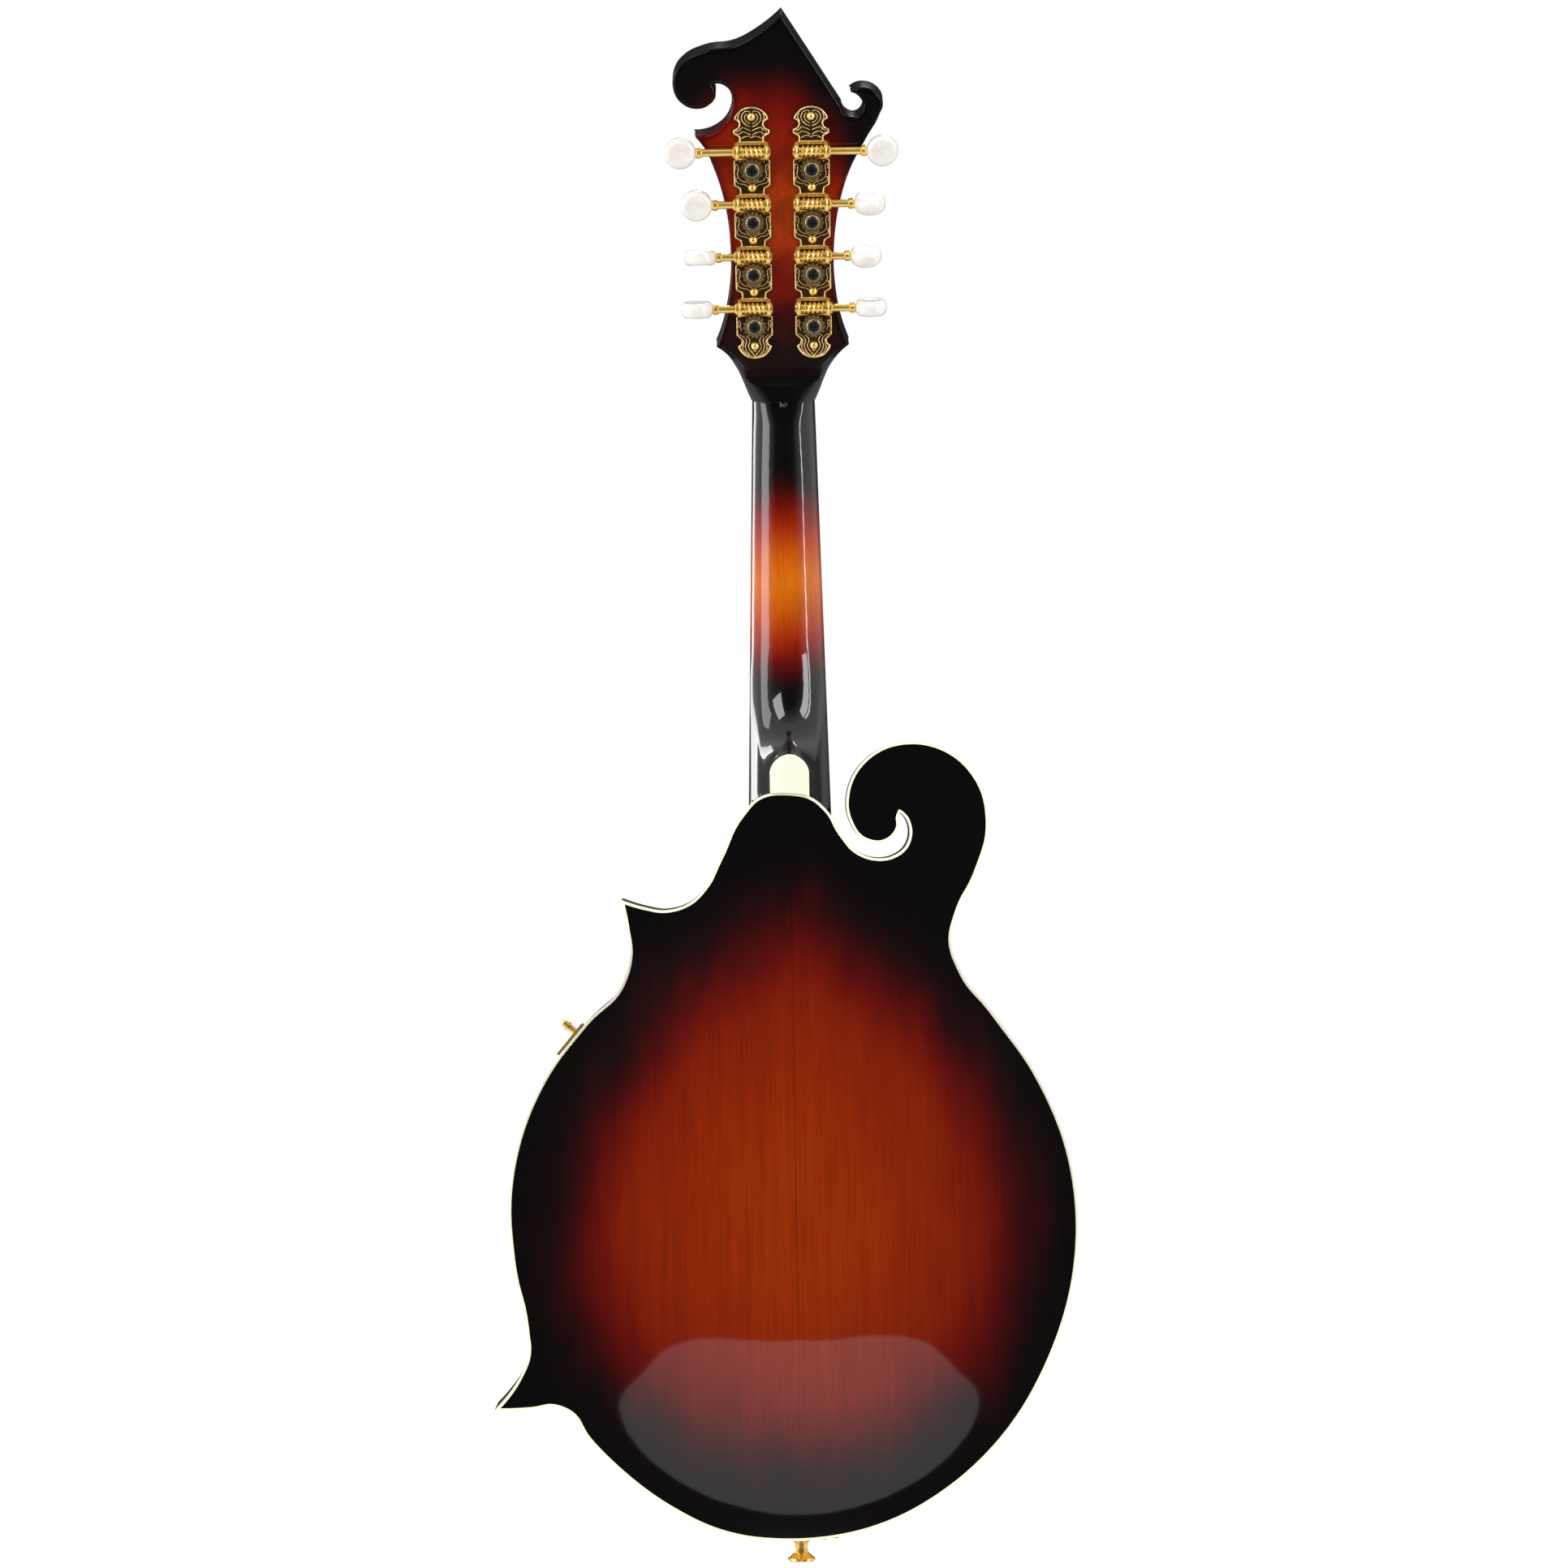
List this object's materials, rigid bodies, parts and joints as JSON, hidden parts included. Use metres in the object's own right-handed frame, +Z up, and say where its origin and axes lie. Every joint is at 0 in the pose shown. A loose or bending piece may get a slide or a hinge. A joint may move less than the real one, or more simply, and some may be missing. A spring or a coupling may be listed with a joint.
{
  "type": "mandolin",
  "caption": "Carved mandolin with a scroll and two body points, eight geared tuners, an adjustable bridge, strings, tailpiece and pickguard.",
  "frame": {"origin": "centre plane, at the nut, on the face of the neck that the fingerboard is glued to", "axes": "+Z up the instrument towards the headstock and parallel to the soundboard, -Y out of the carved back, +Y out of the soundboard and strings, +X towards the scroll's side"},
  "size_m": [0.2641, 0.1163, 0.6985],
  "materials": {
    "back_maple": "gloss sunburst lacquer",
    "neck_maple": "gloss sunburst lacquer",
    "top_spruce": "gloss sunburst lacquer",
    "rim_maple": "gloss dark lacquer",
    "inside_wood": "bare",
    "ebony": "oiled",
    "cream_plastic": "gloss",
    "pearl_plastic": "gloss pearl",
    "black_plastic": "gloss",
    "gold_plate": "gold plated",
    "bronze": "gold plated relief",
    "steel": "plain",
    "nickel": "polished",
    "bone": "polished"
  },
  "bodies": {
    "instrument": {"back_binding": "cream_plastic", "back_plate": "back_maple", "bridge_base": "ebony", "bridge_posts": "gold_plate", "fingerboard": "ebony", "fingerboard_riser": "neck_maple", "frets": "nickel", "head_block": "inside_wood", "headstock_overlay": "ebony", "heel_cap": "cream_plastic", "linings": "inside_wood", "neck": "neck_maple", "nut": "bone", "pickguard": "black_plastic", "pickguard_bracket": "gold_plate", "point_blocks": "inside_wood", "position_dots": "pearl_plastic", "post_bushings": "gold_plate", "rim": "rim_maple", "soundboard": "top_spruce", "strap_button": "gold_plate", "strings": "nickel", "tail_block": "inside_wood", "tailpiece_base": "gold_plate", "tone_bars": "inside_wood", "top_binding": "cream_plastic", "truss_rod": "steel", "truss_rod_cover": "black_plastic", "tuner_plate_left": "bronze", "tuner_plate_right": "bronze", "wood_screws": "gold_plate"},
    "tuner_left_1": {"worm_shaft_left_1": "gold_plate", "tuner_button_left_1": "pearl_plastic"},
    "post_left_1": {"post_gear_left_1": "gold_plate"},
    "tuner_left_2": {"worm_shaft_left_2": "gold_plate", "tuner_button_left_2": "pearl_plastic"},
    "post_left_2": {"post_gear_left_2": "gold_plate"},
    "tuner_left_3": {"worm_shaft_left_3": "gold_plate", "tuner_button_left_3": "pearl_plastic"},
    "post_left_3": {"post_gear_left_3": "gold_plate"},
    "tuner_left_4": {"worm_shaft_left_4": "gold_plate", "tuner_button_left_4": "pearl_plastic"},
    "post_left_4": {"post_gear_left_4": "gold_plate"},
    "tuner_right_1": {"worm_shaft_right_1": "gold_plate", "tuner_button_right_1": "pearl_plastic"},
    "post_right_1": {"post_gear_right_1": "gold_plate"},
    "tuner_right_2": {"worm_shaft_right_2": "gold_plate", "tuner_button_right_2": "pearl_plastic"},
    "post_right_2": {"post_gear_right_2": "gold_plate"},
    "tuner_right_3": {"worm_shaft_right_3": "gold_plate", "tuner_button_right_3": "pearl_plastic"},
    "post_right_3": {"post_gear_right_3": "gold_plate"},
    "tuner_right_4": {"worm_shaft_right_4": "gold_plate", "tuner_button_right_4": "pearl_plastic"},
    "post_right_4": {"post_gear_right_4": "gold_plate"},
    "truss_nut": {"truss_rod_nut": "gold_plate"},
    "saddle": {"bridge_saddle": "ebony"},
    "wheel_left": {"thumbwheel_left": "gold_plate"},
    "wheel_right": {"thumbwheel_right": "gold_plate"},
    "tail_cover": {"tailpiece_cover": "gold_plate"}
  },
  "joints": [
    {"name": "button_turn_left_1", "type": "hinge", "parent": "instrument", "child": "tuner_left_1", "pos_m": [-0.0125, -0.03282, 0.0405], "axis": [1, 0, 0], "continuous": true},
    {"name": "post_turn_left_1", "type": "hinge", "parent": "instrument", "child": "post_left_1", "pos_m": [-0.0125, -0.01231, 0.03899], "axis": [0, 0.9455, 0.3256], "continuous": true},
    {"name": "button_turn_left_2", "type": "hinge", "parent": "instrument", "child": "tuner_left_2", "pos_m": [-0.0125, -0.04064, 0.06319], "axis": [1, 0, 0], "continuous": true},
    {"name": "post_turn_left_2", "type": "hinge", "parent": "instrument", "child": "post_left_2", "pos_m": [-0.0125, -0.02013, 0.06168], "axis": [0, 0.9455, 0.3256], "continuous": true},
    {"name": "button_turn_left_3", "type": "hinge", "parent": "instrument", "child": "tuner_left_3", "pos_m": [-0.0125, -0.04845, 0.08588], "axis": [1, 0, 0], "continuous": true},
    {"name": "post_turn_left_3", "type": "hinge", "parent": "instrument", "child": "post_left_3", "pos_m": [-0.0125, -0.02794, 0.08438], "axis": [0, 0.9455, 0.3256], "continuous": true},
    {"name": "button_turn_left_4", "type": "hinge", "parent": "instrument", "child": "tuner_left_4", "pos_m": [-0.0125, -0.05626, 0.10857], "axis": [1, 0, 0], "continuous": true},
    {"name": "post_turn_left_4", "type": "hinge", "parent": "instrument", "child": "post_left_4", "pos_m": [-0.0125, -0.03576, 0.10707], "axis": [0, 0.9455, 0.3256], "continuous": true},
    {"name": "button_turn_right_1", "type": "hinge", "parent": "instrument", "child": "tuner_right_1", "pos_m": [0.0141, -0.03282, 0.0405], "axis": [1, 0, 0], "continuous": true},
    {"name": "post_turn_right_1", "type": "hinge", "parent": "instrument", "child": "post_right_1", "pos_m": [0.0141, -0.01231, 0.03899], "axis": [0, 0.9455, 0.3256], "continuous": true},
    {"name": "button_turn_right_2", "type": "hinge", "parent": "instrument", "child": "tuner_right_2", "pos_m": [0.0141, -0.04064, 0.06319], "axis": [1, 0, 0], "continuous": true},
    {"name": "post_turn_right_2", "type": "hinge", "parent": "instrument", "child": "post_right_2", "pos_m": [0.0141, -0.02013, 0.06168], "axis": [0, 0.9455, 0.3256], "continuous": true},
    {"name": "button_turn_right_3", "type": "hinge", "parent": "instrument", "child": "tuner_right_3", "pos_m": [0.0141, -0.04845, 0.08588], "axis": [1, 0, 0], "continuous": true},
    {"name": "post_turn_right_3", "type": "hinge", "parent": "instrument", "child": "post_right_3", "pos_m": [0.0141, -0.02794, 0.08438], "axis": [0, 0.9455, 0.3256], "continuous": true},
    {"name": "button_turn_right_4", "type": "hinge", "parent": "instrument", "child": "tuner_right_4", "pos_m": [0.0141, -0.05626, 0.10857], "axis": [1, 0, 0], "continuous": true},
    {"name": "post_turn_right_4", "type": "hinge", "parent": "instrument", "child": "post_right_4", "pos_m": [0.0141, -0.03576, 0.10707], "axis": [0, 0.9455, 0.3256], "continuous": true},
    {"name": "truss_nut_turn", "type": "hinge", "parent": "instrument", "child": "truss_nut", "pos_m": [0, -0.0062, 0.00905], "axis": [0, -0.0958, 0.9954], "range_deg": [-180, 180]},
    {"name": "saddle_lift", "type": "slide", "parent": "instrument", "child": "saddle", "axis": [0, 1, 0], "range_m": [-0.0005, 0.0012], "deforming": ["strings"]},
    {"name": "wheel_turn_left", "type": "hinge", "parent": "saddle", "child": "wheel_left", "pos_m": [-0.034, 0.034, -0.352], "axis": [0, 1, 0], "range_deg": [-260, 620]},
    {"name": "wheel_turn_right", "type": "hinge", "parent": "saddle", "child": "wheel_right", "pos_m": [0.034, 0.034, -0.352], "axis": [0, 1, 0], "range_deg": [-260, 620]},
    {"name": "cover_slide", "type": "slide", "parent": "instrument", "child": "tail_cover", "axis": [0, 0, -1], "range_m": [0, 0.02]}
  ],
  "couplings": [
    {"joint": "post_turn_left_1", "follows": "button_turn_left_1", "ratio": -0.066667},
    {"joint": "post_turn_left_2", "follows": "button_turn_left_2", "ratio": -0.066667},
    {"joint": "post_turn_left_3", "follows": "button_turn_left_3", "ratio": -0.066667},
    {"joint": "post_turn_left_4", "follows": "button_turn_left_4", "ratio": -0.066667},
    {"joint": "post_turn_right_1", "follows": "button_turn_right_1", "ratio": -0.066667},
    {"joint": "post_turn_right_2", "follows": "button_turn_right_2", "ratio": -0.066667},
    {"joint": "post_turn_right_3", "follows": "button_turn_right_3", "ratio": -0.066667},
    {"joint": "post_turn_right_4", "follows": "button_turn_right_4", "ratio": -0.066667},
    {"joint": "wheel_turn_left", "follows": "saddle_lift", "rad_per_m": 8976},
    {"joint": "wheel_turn_right", "follows": "saddle_lift", "rad_per_m": 8976}
  ]
}
